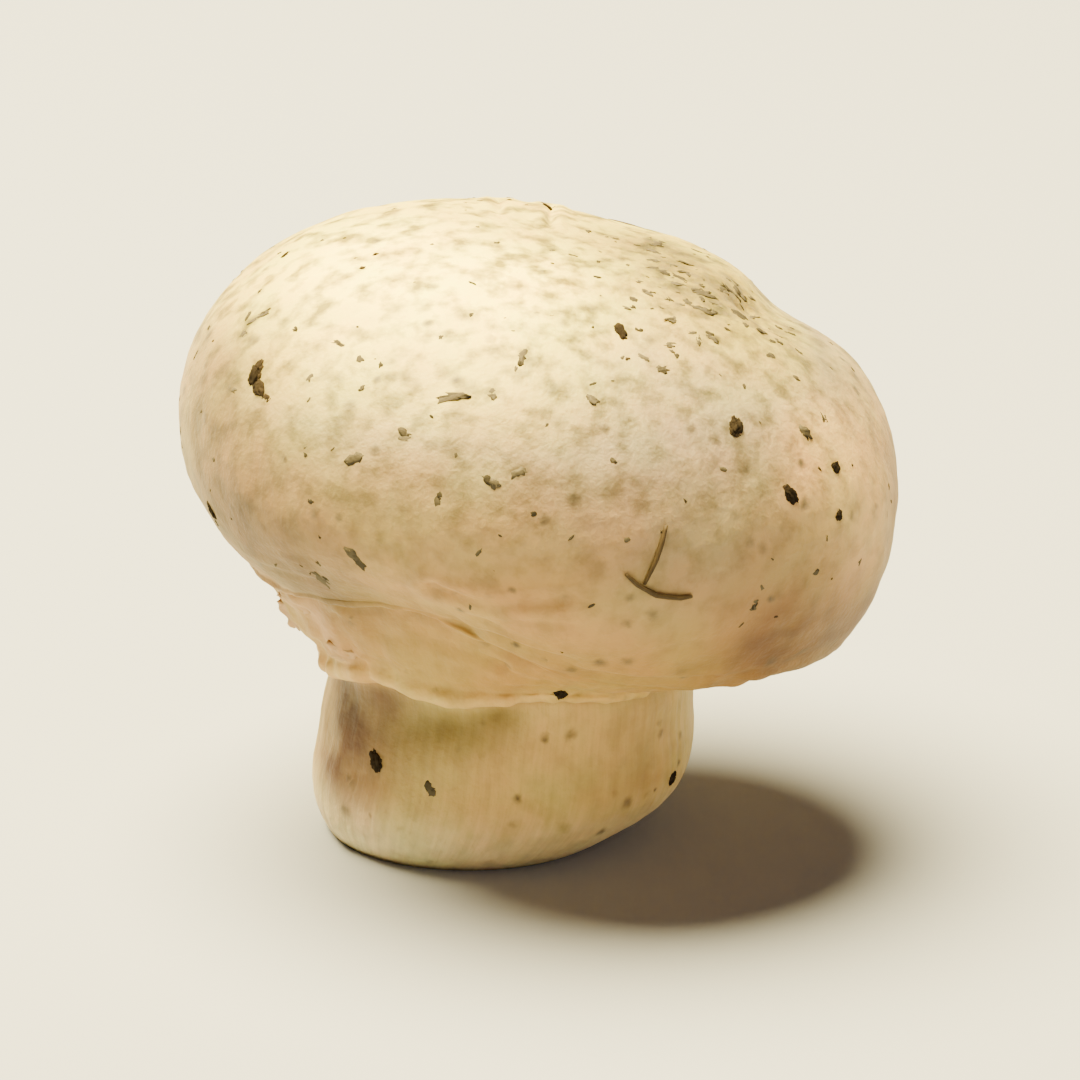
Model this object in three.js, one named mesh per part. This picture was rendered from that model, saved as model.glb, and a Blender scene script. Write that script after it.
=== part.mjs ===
// A small white button mushroom, picked and trimmed: cap, closed veil and stem, grown as one body.
// Millimetres, +Z up. The origin is the middle of the stem's cut end, -Y is the front and +X its right.
// The body is drawn as a profile round the axis of growth, given its swells and dents, and bent at the neck.
import * as THREE from "three";

// Cap: a flattened globe with full shoulders, drawn in below towards the margin
const capWidth = 18.5;
const widestHeight = 10.5; // of its widest line above the cut end
const crownRise = 5.55; // from the widest line up to the crown
const crownFullness = 2.1; // 2 is an ellipse, and more is squarer
const bellyWidth = 11.6; // the belly follows an ellipse, whose lowest point has this width
const bellyDrop = 4.2; // and lies this far below the widest line,
const bellyShare = 0.7; // for this share of a quarter turn

// Margin: the rolled edge of the cap, and the fold inside it where the veil begins
const marginWidth = 14.6;
const marginHeight = 6.6;
const foldWidth = 13.9;
const foldHeight = 6.63;
const foldLift = 1.1; // the fold is drawn up at the front left, where the veil is broadest
const liftAngle = -112; // degrees round from the right
const liftSpread = 27;

// Veil: a cone of skin from the fold down to a ragged lip that hangs over the stem
const veilWidth = 12.0; // half way down
const veilHeight = 5.75;
const lipWidth = 10.7;
const lipHeight = 5.15;
const lipThickness = 0.28;
const lipFlare = 0.25; // it stands out at the front and back, and lies close at the left and right
const flareAngle = -105; // where it stands out most, in degrees round from the right
const lipSag = 0.2; // it hangs lower at the left and right than at the front and back
const lipRaggedness = 0.1;
const lipReach = 0.75; // of the flare and the sag, up the veil

// Stem: short and stout, swelling from the cut and narrowing at the neck
const cutWidth = 7.4;
const stemWidth = 9.85;
const neckWidth = 9.5;
const heelHeight = 1.9; // over which it swells from the cut to its full width
const neckHeight = 5.0;

// Growth: the stem stands to the right of the middle of its cut, and the neck tips the cap over to the right
const stemShift = 1.0;
const shiftHeight = 3.0;
const neckShift = 0.2;
const capTip = 9; // degrees
const tipFrom = 4.2; // the bend lies between these heights
const tipTo = 7.0;
const tipCentre = 7.0;

// Swells (+) and dents (-) of the cap, in mm, each with its direction from the middle of the cap: degrees
// round from the right, and degrees above the widest line. One with a second direction is a furrow that
// runs from one to the other.
const swells = [
  { round: -15, above: -32, spread: 30, push: 0.9 }, // the margin hangs lowest at the front right
  { round: 180, above: -44, spread: 24, push: -0.5 }, // and draws in at the left
  { round: 150, above: 35, spread: 35, push: 0.26 }, // full left shoulder
  { round: 70, above: 55, spread: 30, push: -0.15 },
  { round: -4, above: 40, toRound: 42, toAbove: 18, spread: 8.5, push: -0.48 }, // in the right shoulder
  { round: 115, above: -5, spread: 26, push: -0.3 }, // flat where it grew against a neighbour
  { round: -60, above: -12, spread: 24, push: 0.12 },
  { round: -112, above: -30, spread: 20, push: -0.2 }, // flatter where the fold is drawn up
];

const segments = 80; // round the axis
const degree = Math.PI / 180;
const { lerp, smoothstep, clamp } = THREE.MathUtils;

const point = (x, y) => new THREE.Vector2(x, y);

// Quarter of a rounded square: its share of the half width and of the rise, from side (0) to pole (1).
function roundedQuarter(turn, fullness) {
  const angle = (turn * Math.PI) / 2;
  return { out: Math.cos(angle) ** (2 / fullness), up: Math.sin(angle) ** (2 / fullness) };
}

function cutFace(steps) {
  const points = [];
  for (let i = 0; i < steps; i++) points.push(point(((cutWidth / 2) * i) / steps, 0));
  return points;
}

function stemSide(heelSteps, sideSteps) {
  const points = [];
  for (let i = 0; i < heelSteps; i++) {
    const up = i / heelSteps;
    const swell = 1 - (1 - up) ** 2;
    points.push(point(lerp(cutWidth, stemWidth, swell) / 2, heelHeight * up));
  }
  for (let i = 0; i < sideSteps; i++) {
    const up = i / sideSteps;
    const narrowing = smoothstep(up, 0, 1);
    points.push(point(lerp(stemWidth, neckWidth, narrowing) / 2, lerp(heelHeight, neckHeight, up)));
  }
  return points;
}

// From the neck out under the lip, round its edge, up the veil, into the fold and out on to the margin.
function veil(steps) {
  const lip = lipWidth / 2;
  const band = new THREE.SplineCurve([
    point(neckWidth / 2, neckHeight),
    point(lip - 0.2, lipHeight - lipThickness / 2),
    point(lip, lipHeight),
    point(lip + 0.06, lipHeight + lipThickness),
    point(veilWidth / 2, veilHeight),
    point(foldWidth / 2 - 0.15, foldHeight - 0.22),
    point(foldWidth / 2, foldHeight),
    point(marginWidth / 2, marginHeight),
    point(marginWidth / 2 + 0.08, marginHeight + 0.16),
  ]);
  return band.getPoints(steps).slice(0, steps);
}

function belly(steps) {
  const points = [];
  for (let i = 0; i < steps; i++) {
    const { out, up } = roundedQuarter(bellyShare * (1 - i / steps), 2);
    points.push(point(lerp(bellyWidth, capWidth, out) / 2, widestHeight - bellyDrop * up));
  }
  return points;
}

function crown(steps) {
  const points = [];
  for (let i = 0; i < steps; i++) {
    const { out, up } = roundedQuarter(i / steps, crownFullness);
    points.push(point((capWidth / 2) * out, widestHeight + crownRise * up));
  }
  points.push(point(0, widestHeight + crownRise));
  return points;
}

function direction(round, above) {
  const flat = Math.cos(above * degree);
  return new THREE.Vector3(
    flat * Math.cos(round * degree),
    flat * Math.sin(round * degree),
    Math.sin(above * degree),
  );
}

function angleBetween(a, b) {
  return Math.abs(Math.atan2(Math.sin(a - b), Math.cos(a - b)));
}

// Moves a place on the cap in or out along its line from the middle of the cap.
function swell(place) {
  const arm = place.clone().sub(new THREE.Vector3(0, 0, widestHeight)).normalize();
  let push = 0;
  for (const { round, above, toRound = round, toAbove = above, spread, push: height } of swells) {
    const start = direction(round, above);
    const end = direction(toRound, toAbove);
    const nearest = new THREE.Line3(start, end).closestPointToPoint(arm, true, new THREE.Vector3());
    const away = arm.angleTo(nearest) / (spread * degree);
    push += height * Math.exp(-away * away);
  }
  place.addScaledVector(arm, push * smoothstep(place.z, lipHeight, marginHeight + 0.8));
}

// Draws the fold and the margin up on one side, without moving the lip or the widest line.
function lift(place) {
  const away = angleBetween(Math.atan2(place.y, place.x), liftAngle * degree) / (liftSpread * degree);
  const aboveLip = smoothstep(place.z, lipHeight, foldHeight);
  const belowWidest = 1 - smoothstep(place.z, marginHeight, widestHeight);
  place.z += foldLift * Math.exp(-away * away) * aboveLip * belowWidest;
}

// Makes the lip of the veil stand out more on one side, with a ragged edge.
function fray(place) {
  const round = Math.atan2(place.y, place.x);
  const aboveLip = (place.z - lipHeight) / lipReach;
  const lip = Math.exp(-aboveLip * aboveLip) * smoothstep(place.z, neckHeight - 1, neckHeight);
  const flare = lipFlare * Math.cos(2 * (round - flareAngle * degree));
  const out = flare + lipRaggedness * Math.sin(5 * round + 0.8) * Math.cos(2 * round + 0.3);
  const droop = lipSag * Math.cos(2 * round) + lipRaggedness * Math.sin(7 * round + 2);
  const scale = 1 + (lip * out) / (lipWidth / 2);
  place.set(place.x * scale, place.y * scale, place.z - lip * droop);
}

// Shifts the stem off the middle of its cut and bends the neck, so that the cap tips to the right.
function bend(place) {
  const heel = 1 - (1 - clamp(place.z / shiftHeight, 0, 1)) ** 2;
  const shift = stemShift * heel + neckShift * smoothstep(place.z, shiftHeight, neckHeight);
  const tip = capTip * degree * smoothstep(place.z, tipFrom, tipTo);
  const centre = new THREE.Vector3(0, 0, tipCentre);
  place.sub(centre).applyAxisAngle(new THREE.Vector3(0, 1, 0), tip).add(centre);
  place.x += shift;
}

function mushroomBody() {
  const profile = [...cutFace(3), ...stemSide(5, 4), ...veil(16), ...belly(10), ...crown(15)];
  const geometry = new THREE.LatheGeometry(profile, segments);
  geometry.rotateX(Math.PI / 2);
  const positions = geometry.getAttribute("position");
  const place = new THREE.Vector3();
  for (let i = 0; i < positions.count; i++) {
    place.fromBufferAttribute(positions, i);
    swell(place);
    lift(place);
    fray(place);
    bend(place);
    positions.setXYZ(i, place.x, place.y, place.z);
  }
  geometry.computeVertexNormals();
  return geometry;
}

const flesh = new THREE.MeshStandardMaterial({ color: 0xeadcc2, roughness: 0.7, metalness: 0 });
const mushroom = new THREE.Mesh(mushroomBody(), flesh);
mushroom.name = "mushroom";

const part = new THREE.Group();
part.add(mushroom);

export default part;
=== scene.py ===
import math
import random
import bpy
import bmesh
from mathutils import Matrix, Vector, noise
from mathutils.bvhtree import BVHTree
from mathutils.geometry import interpolate_bezier


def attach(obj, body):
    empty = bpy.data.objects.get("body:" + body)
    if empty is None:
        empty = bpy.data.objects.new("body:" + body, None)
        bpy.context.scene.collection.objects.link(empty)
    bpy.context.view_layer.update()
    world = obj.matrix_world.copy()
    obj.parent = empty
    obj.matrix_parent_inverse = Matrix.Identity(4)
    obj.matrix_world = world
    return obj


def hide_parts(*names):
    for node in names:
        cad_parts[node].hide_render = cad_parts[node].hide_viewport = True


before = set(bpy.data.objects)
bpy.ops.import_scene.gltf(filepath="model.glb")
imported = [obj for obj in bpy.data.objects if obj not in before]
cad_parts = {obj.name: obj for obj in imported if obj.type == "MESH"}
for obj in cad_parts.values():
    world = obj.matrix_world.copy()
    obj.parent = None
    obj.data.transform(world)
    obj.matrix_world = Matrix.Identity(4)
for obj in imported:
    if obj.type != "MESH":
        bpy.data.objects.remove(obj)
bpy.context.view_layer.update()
mm = 0.001
print("mushroom: frame loaded")


def lerp(a, b, share):
    return a + (b - a) * share


def clamp(value, low=0.0, high=1.0):
    return max(low, min(high, value))


def smooth(value, low, high):  # 0 below low, 1 above high
    t = clamp((value - low) / (high - low))
    return t * t * (3 - 2 * t)


def hill(distance, width):  # 1 in the middle, falling away over the width
    return math.exp(-(distance / width) ** 2)


def hexColor(code):  # sRGB hex to linear
    channels = [int(code[i:i + 2], 16) / 255 for i in (1, 3, 5)]
    linear = [c / 12.92 if c <= 0.04045 else ((c + 0.055) / 1.055) ** 2.4 for c in channels]
    return (*linear, 1.0)


def addNode(tree, kind, inputs=None, **settings):
    node = tree.nodes.new(kind)
    for name, value in settings.items():
        setattr(node, name, value)
    for socket, value in (inputs or {}).items():
        if isinstance(value, bpy.types.NodeSocket):
            tree.links.new(value, node.inputs[socket])
        else:
            node.inputs[socket].default_value = value
    return node


def newMaterial(name):
    material = bpy.data.materials.new(name)
    material.use_nodes = True
    material.node_tree.nodes.clear()
    return material, material.node_tree


def newPiece(name, form, material):  # a finished mesh in mm becomes an object in metres
    bmesh.ops.scale(form, vec=(mm, mm, mm), verts=form.verts)
    mesh = bpy.data.meshes.new(name)
    form.to_mesh(mesh)
    form.free()
    mesh.shade_smooth()
    mesh.materials.append(material)
    piece = bpy.data.objects.new(name, mesh)
    bpy.context.scene.collection.objects.link(piece)
    return piece


def direction(around, above):  # degrees round from the right, and degrees above level
    a, e = math.radians(around), math.radians(above)
    return Vector((math.cos(e) * math.cos(a), math.cos(e) * math.sin(a), math.sin(e)))


def arc(at, to=None):  # a direction, or the line from one direction to another
    return direction(*at), direction(*(to or at))


def awayFrom(arm, line):  # degrees from the nearest point of such a line
    start, end = line
    span = end - start
    length = span.length_squared
    share = clamp((arm - start).dot(span) / length) if length else 0
    return math.degrees(arm.angle(start + span * share))


def arcs(path):
    return [arc(*ends) for ends in zip(path, path[1:])]


# the body's sizes in mm, the same as the solid's, and how finely each stretch of its outline is cut
body = {
    "capWidth": 18.5, "widestHeight": 10.5, "crownRise": 5.55, "crownFullness": 2.1,
    "bellyWidth": 11.6, "bellyDrop": 4.2, "bellyShare": 0.7,
    "marginWidth": 14.6, "marginHeight": 6.6,
    "foldWidth": 13.9, "foldHeight": 6.63, "foldLift": 1.1, "liftAngle": -112, "liftSpread": 27,
    "veilWidth": 12.0, "veilHeight": 5.75,
    "lipWidth": 10.7, "lipHeight": 5.15, "lipThickness": 0.28, "lipFlare": 0.25, "flareAngle": -105,
    "lipSag": 0.2, "lipRaggedness": 0.1, "lipReach": 0.75,
    "cutWidth": 7.4, "stemWidth": 9.85, "neckWidth": 9.5, "heelHeight": 1.9, "neckHeight": 5.0,
    "stemShift": 1.0, "shiftHeight": 3.0, "neckShift": 0.2,
    "capTip": 9, "tipFrom": 4.2, "tipTo": 7.0, "tipCentre": 7.0,
    "segments": 360, "cutSteps": 12, "heelSteps": 16, "sideSteps": 26, "veilSteps": 72, "bellySteps": 34,
    "crownSteps": 84,
}
# directions from the cap's middle, spread in degrees and height in mm: two directions make a furrow
swells = [
    {"line": arc((-15, -32)), "spread": 30, "push": 0.9},
    {"line": arc((180, -44)), "spread": 24, "push": -0.5},
    {"line": arc((150, 35)), "spread": 35, "push": 0.26},
    {"line": arc((70, 55)), "spread": 30, "push": -0.15},
    {"line": arc((-4, 40), (42, 18)), "spread": 8.5, "push": -0.48},
    {"line": arc((115, -5)), "spread": 26, "push": -0.3},
    {"line": arc((-60, -12)), "spread": 24, "push": 0.12},
    {"line": arc((-112, -30)), "spread": 20, "push": -0.2},
]


def quarter(turn, fullness):  # a rounded square's share out and up, from its side (0) to its pole (1)
    angle = turn * math.pi / 2
    return max(math.cos(angle), 0) ** (2 / fullness), math.sin(angle) ** (2 / fullness)


def veilCurve():  # under the lip, round its edge, up the veil, into the fold and out on to the margin
    b = body
    lip, fold, margin = b["lipWidth"] / 2, b["foldWidth"] / 2, b["marginWidth"] / 2
    knots = [
        (b["neckWidth"] / 2, b["neckHeight"]),
        (lip - 0.2, b["lipHeight"] - b["lipThickness"] / 2),
        (lip, b["lipHeight"]),
        (lip + 0.06, b["lipHeight"] + b["lipThickness"]),
        (b["veilWidth"] / 2, b["veilHeight"]),
        (fold - 0.15, b["foldHeight"] - 0.22),
        (fold, b["foldHeight"]),
        (margin, b["marginHeight"]),
        (margin + 0.08, b["marginHeight"] + 0.16),
    ]
    knots = [Vector((radius, 0, z)) for radius, z in knots]
    last = len(knots) - 1
    points = []
    for i, (start, end) in enumerate(zip(knots, knots[1:])):
        before, after = knots[max(i - 1, 0)], knots[min(i + 2, last)]
        handles = start + (end - before) / 6, end - (after - start) / 6
        points += interpolate_bezier(start, *handles, end, b["veilSteps"] // last + 1)[:-1]
    return [(point.x, point.z) for point in points]


def bodyProfile():  # half the outline, from the middle of the cut end to the crown
    b = body
    points = [(b["cutWidth"] / 2 * i / b["cutSteps"], 0) for i in range(b["cutSteps"])]
    for i in range(b["heelSteps"]):
        up = i / b["heelSteps"]
        points.append((lerp(b["cutWidth"], b["stemWidth"], 1 - (1 - up) ** 2) / 2, b["heelHeight"] * up))
    for i in range(b["sideSteps"]):
        up = i / b["sideSteps"]
        radius = lerp(b["stemWidth"], b["neckWidth"], smooth(up, 0, 1)) / 2
        points.append((radius, lerp(b["heelHeight"], b["neckHeight"], up)))
    points += veilCurve()
    for i in range(b["bellySteps"]):
        out, up = quarter(b["bellyShare"] * (1 - i / b["bellySteps"]), 2)
        radius = lerp(b["bellyWidth"], b["capWidth"], out) / 2
        points.append((radius, b["widestHeight"] - b["bellyDrop"] * up))
    for i in range(b["crownSteps"]):
        out, up = quarter(i / b["crownSteps"], b["crownFullness"])
        points.append((b["capWidth"] / 2 * out, b["widestHeight"] + b["crownRise"] * up))
    return points + [(0, b["widestHeight"] + b["crownRise"])]


def swell(place):
    arm = (place - Vector((0, 0, body["widestHeight"]))).normalized()
    push = sum(s["push"] * hill(awayFrom(arm, s["line"]), s["spread"]) for s in swells)
    return place + arm * push * smooth(place.z, body["lipHeight"], body["marginHeight"] + 0.8)


def lift(place):  # draws the fold up at the front left
    b = body
    around = math.degrees(math.atan2(place.y, place.x))
    away = (around - b["liftAngle"] + 180) % 360 - 180
    share = smooth(place.z, b["lipHeight"], b["foldHeight"])
    share *= 1 - smooth(place.z, b["marginHeight"], b["widestHeight"])
    return place + Vector((0, 0, b["foldLift"] * hill(away, b["liftSpread"]) * share))


def fray(place):  # the lip of the veil stands out unevenly
    b = body
    around = math.atan2(place.y, place.x)
    lip = hill(place.z - b["lipHeight"], b["lipReach"])
    lip *= smooth(place.z, b["neckHeight"] - 1, b["neckHeight"])
    out = b["lipFlare"] * math.cos(2 * (around - math.radians(b["flareAngle"])))
    out += b["lipRaggedness"] * math.sin(5 * around + 0.8) * math.cos(2 * around + 0.3)
    droop = b["lipSag"] * math.cos(2 * around) + b["lipRaggedness"] * math.sin(7 * around + 2)
    scale = 1 + lip * out / (b["lipWidth"] / 2)
    return Vector((place.x * scale, place.y * scale, place.z - lip * droop))


def bend(place):  # the stem stands to the right of its cut, and the neck tips the cap
    b = body
    heel = 1 - (1 - clamp(place.z / b["shiftHeight"])) ** 2
    shift = b["stemShift"] * heel + b["neckShift"] * smooth(place.z, b["shiftHeight"], b["neckHeight"])
    tip = math.radians(b["capTip"]) * smooth(place.z, b["tipFrom"], b["tipTo"])
    centre = Vector((0, 0, b["tipCentre"]))
    return Matrix.Rotation(tip, 3, "Y") @ (place - centre) + centre + Vector((shift, 0, 0))


# fine relief on top of the form: sizes and heights in mm, places as directions from the cap's middle
relief = {
    "capMiddle": (1.75, 0, 10.3),
    "broadSize": 4.2, "broadHeight": 0.08,
    "dimpleSize": 1.2, "dimpleHeight": 0.045,
    "grainSize": 0.36, "grainHeight": 0.018,
    "scurfAt": (-8, 43), "scurfSpread": 23, "scurfSize": 0.5, "scurfHeight": 0.1,
    "pleatSize": 0.6, "pleatHeight": 0.05, "pleatFade": (6.8, 8.2),
    "tissueSize": 0.9, "tissueHeight": 0.06,
    "wrinkleLength": 3.2, "wrinkleSize": 0.55, "wrinkleHeight": 0.12, "wrinkleFade": (6.6, 9.2),
    "lipNoise": 0.16, "lipSize": 0.7,
    "foldFill": 0.1, "foldBand": 0.34, "foldSmoothing": (5, 6), "shutSize": 1.6, "shutFrom": 0.08,
    "lipRoll": 0.16, "rollSize": 1.5, "rollSpread": 16, "lipBand": 0.2,
    "tornAt": (-145, -28), "tornSpread": 11, "tornSize": 0.9, "tornHeight": 0.3,
    "strand": [(-148, -21), (-144, -27), (-145, -34), (-148, -42), (-154, -52), (-157, -58)],
    "strandWidth": 4.5, "strandHeight": 0.14,
    "bulgeSize": 2.6, "stemBulge": 0.08, "fibreWidth": 0.42, "fibreHeight": 0.025,
    # heelFade: how far up the stem the painted light at its foot reaches
    "cutHollow": 0.12, "cutRim": 0.12, "heelFade": (0.2, 2.4),
    "creaseMargin": 8, "creaseWander": 0.8,  # in degrees, as the widths of creases are
    "rimHeight": 0.6, "rimAway": 2.6, "rimWidth": 1.6,  # the skin swells by a share of the depth beside it
}
creases = [  # shallow wrinkles: directions from end to end, width in degrees, depth in mm
    {"path": [(-132, -19), (-115, -17), (-98, -16), (-88, -19), (-80, -24), (-57, -26)],
     "width": 1.8, "depth": 0.1},
    {"path": [(-107, -5), (-98, -7), (-86, -5)], "width": 1.3, "depth": 0.09},
    {"path": [(-100, -11), (-90, -9), (-84, -10)], "width": 1.0, "depth": 0.04},
    {"path": [(-128, -26), (-112, -26), (-98, -29)], "width": 1.4, "depth": 0.1},
    {"path": [(-72, -17), (-58, -15), (-45, -16)], "width": 1.2, "depth": 0.04},
    {"path": [(-137, -22), (-137, -29), (-139, -34), (-135, -41)], "width": 0.9, "depth": 0.1},
    {"path": [(120, 72), (101, 45)], "width": 0.9, "depth": 0.09},
    {"path": [(70, 79), (85, 49)], "width": 0.9, "depth": 0.1},
]
for crease in creases:
    crease["arcs"] = arcs(crease["path"])
    crease["middle"] = sum((start + end for start, end in crease["arcs"]), Vector()).normalized()
    spans = [math.degrees(direction(*at).angle(crease["middle"])) for at in crease["path"]]
    crease["reach"] = max(spans) + relief["creaseMargin"]
# soft changes of colour, some of them painted shade or highlight: each is a zone of the skin,
# with its strength at the middle
tints = {
    # painted highlight on the crown's upper left over a darker crown base, partly a paler crown
    "crownHighlight": {"line": arc((-156, 50), (-112, 58)), "spread": 26, "color": "#FCEE72", "strength": 1.1},
    "paleBack": {"line": arc((130, 48), (60, 62)), "spread": 24, "color": "#E4D66A", "strength": 0.5},
    # a pinkish-grey tone, darkened further as painted shade on the front of the cap
    "blush": {"line": arc((-66, 15), (-58, 24)), "spread": 22, "color": "#8E8278", "strength": 0.75},
    # an olive stain, darkened further as painted shade on the cap's left side
    "olive": {"line": arc((-160, 15), (-136, -10)), "spread": 18, "color": "#624F32", "strength": 0.85},
    # a yellowish patch, darkened further as painted shade on the upper right
    "yellow": {"line": arc((-12, 46), (20, 56)), "spread": 20, "color": "#6C602C", "strength": 0.9},
    "orange": {"line": arc((-46, -19), (-22, -22)), "spread": 12, "color": "#624424", "strength": 1.0},
    "flank": {"line": arc((-30, 8), (-24, -2)), "spread": 11, "color": "#DCBA82", "strength": 0.9},
    "belly": {"line": arc((-112, -5), (-84, -8)), "spread": 9, "color": "#B89860", "strength": 0.6},
    # painted shade: a reddish-brown dark line along the crease
    "creaseShade": {"line": arc((-107, -5), (-86, -5)), "spread": 3, "color": "#A0683F", "strength": 0.4},
    "tissue": {"line": arc((-146, -22), (-142, -34)), "spread": 6, "color": "#C4A27C", "strength": 0.5},
    # painted shadow on the stem under the lip's flare
    "neck": {"line": arc((-137, -47.5), (-101, -49)), "spread": 4.4, "color": "#7E6A36", "strength": 0.9,
             "on": "stem"},
    # painted shade on the stem's left side
    "side": {"line": arc((-150, -44), (-158, -60)), "spread": 13, "color": "#5A4230", "strength": 1.0,
             "on": "stem"},
    # painted shade on the stem's right side
    "stemRightShade": {"line": arc((-47, -58)), "spread": 12, "color": "#A07C56", "strength": 0.5, "on": "stem"},
    # painted light: the stem's foot is lightened against the shade it gets under the cap
    "heel": {"line": arc((-90, -75)), "spread": 90, "color": "#FFF2CC", "strength": 1.0, "on": "heel"},
}
strandArcs = arcs(relief["strand"])
zoneNames = ["low", "veil", "stem", "cut", "fold", "lipEdge", "scurf", *tints]


def ring(place, radius, stretch):  # a seamless place round the axis, for noise that runs up and down
    around = math.atan2(place.y, place.x)
    return Vector((math.cos(around) * radius, math.sin(around) * radius, place.z * stretch))


def shares(place):  # how much of each zone a place on the plain body belongs to
    b = body
    radius = math.hypot(place.x, place.y)
    onCap = place.z > b["foldHeight"] + 0.02 or radius > b["foldWidth"] / 2 + 0.01
    aboveLip = smooth(place.z, b["neckHeight"] - 0.05, b["neckHeight"] + 0.1)
    cap = smooth(radius, b["foldWidth"] / 2, b["marginWidth"] / 2 + 0.3) if place.z < 9 else 1.0
    cap = cap if onCap else 0.0
    isCut = place.z < 1e-4
    fromFold = math.hypot(radius - b["foldWidth"] / 2, place.z - b["foldHeight"])
    fromLip = math.hypot(radius - b["lipWidth"] / 2, place.z - b["lipHeight"] - 0.1)
    return {
        "radius": radius, "cap": cap, "aboveLip": aboveLip, "veil": aboveLip * (1 - cap),
        "stem": 0 if isCut else 1 - smooth(place.z, b["neckHeight"] - 0.3, b["neckHeight"] + 0.02),
        "heel": 0 if isCut else 1 - smooth(place.z, *relief["heelFade"]),
        "cut": 1 if isCut else 1 - smooth(place.z, 0, relief["cutRim"]),
        "fold": hill(fromFold, relief["foldBand"]), "lipEdge": hill(fromLip, relief["lipBand"]),
    }


def skinRelief(place, bent, arm, share):
    r = relief
    height = 0
    if share["cap"] > 0:
        cap = noise.noise(bent / r["broadSize"]) * r["broadHeight"]
        cap += noise.noise(bent / r["dimpleSize"] + Vector((7, 0, 0))) * r["dimpleHeight"]
        cap += noise.noise(bent / r["grainSize"]) * r["grainHeight"]
        if share["scurf"] > 0.02:
            flaky = abs(noise.noise(bent / r["scurfSize"]))  # ridges along the skin's little cracks
            cap += share["scurf"] * r["scurfHeight"] * (0.35 - flaky)
        height += share["cap"] * cap
    if share["aboveLip"] > 0:
        for crease in creases:
            if math.degrees(arm.angle(crease["middle"])) < crease["reach"]:
                away = min(awayFrom(arm, line) for line in crease["arcs"])
                away += r["creaseWander"] * noise.noise(bent / 0.9)
                depth = crease["depth"] * (0.75 + noise.noise(bent / 1.3))
                rim = r["rimHeight"] * hill(away - r["rimAway"], r["rimWidth"])
                height += share["aboveLip"] * depth * (rim - hill(away, crease["width"]))
        pleat = noise.noise(ring(place, 9, 0.3) / r["pleatSize"])
        height += share["aboveLip"] * r["pleatHeight"] * pleat * (1 - smooth(place.z, *r["pleatFade"]))
        if place.z < r["wrinkleFade"][1]:  # wrinkles run round the veil and the margin, here and there
            flow = ring(place, 5 / r["wrinkleLength"], 1 / r["wrinkleSize"]) + Vector((3, 0, 0))
            valley = max(0, 1 - 5 * abs(noise.noise(flow)))
            where = smooth(noise.noise(bent / 3 + Vector((0, 9, 0))), -0.15, 0.35)
            fade = 1 - smooth(place.z, *r["wrinkleFade"])
            height -= share["aboveLip"] * r["wrinkleHeight"] * valley * where * fade
    if share["veil"] > 0:
        tissue = noise.noise(ring(place, 11, 0.8) / r["tissueSize"]) + 0.5 * noise.noise(bent / 0.33)
        height += share["veil"] * r["tissueHeight"] * tissue
        height += share["lipEdge"] * r["lipNoise"] * noise.noise(ring(place, 10, 0) / r["lipSize"])
        roll = r["lipRoll"] * (0.9 + 0.7 * noise.noise(ring(place, 7, 0) / r["rollSize"]))
        height += share["lipEdge"] * roll * hill(awayFrom(arm, tints["neck"]["line"]), r["rollSpread"])
        height += share["fold"] * r["foldFill"] * (0.4 + noise.noise(ring(place, 9, 0) / 0.8))
    torn = hill(awayFrom(arm, arc(r["tornAt"])), r["tornSpread"])
    if torn > 0.02:
        lumps = noise.noise(bent / r["tornSize"] + Vector((0, 4, 0))) + 0.25 * noise.noise(bent / 0.4)
        height += torn * r["tornHeight"] * lumps * share["aboveLip"]
    if torn > 0.02 or share["stem"] > 0:
        beside = min(awayFrom(arm, line) for line in strandArcs)
        uneven = 0.8 + 0.6 * noise.noise(bent / 0.9 + Vector((2, 0, 0)))
        height += r["strandHeight"] * hill(beside, r["strandWidth"]) * uneven
    if share["stem"] > 0:
        bulge = noise.noise(bent / r["bulgeSize"] + Vector((0, 0, 3)))
        fibres = noise.noise(ring(place, 9, 0.22) / r["fibreWidth"]) + 0.5 * noise.noise(bent / 0.3)
        height += share["stem"] * (r["stemBulge"] * bulge + r["fibreHeight"] * fibres)
    return height


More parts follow.
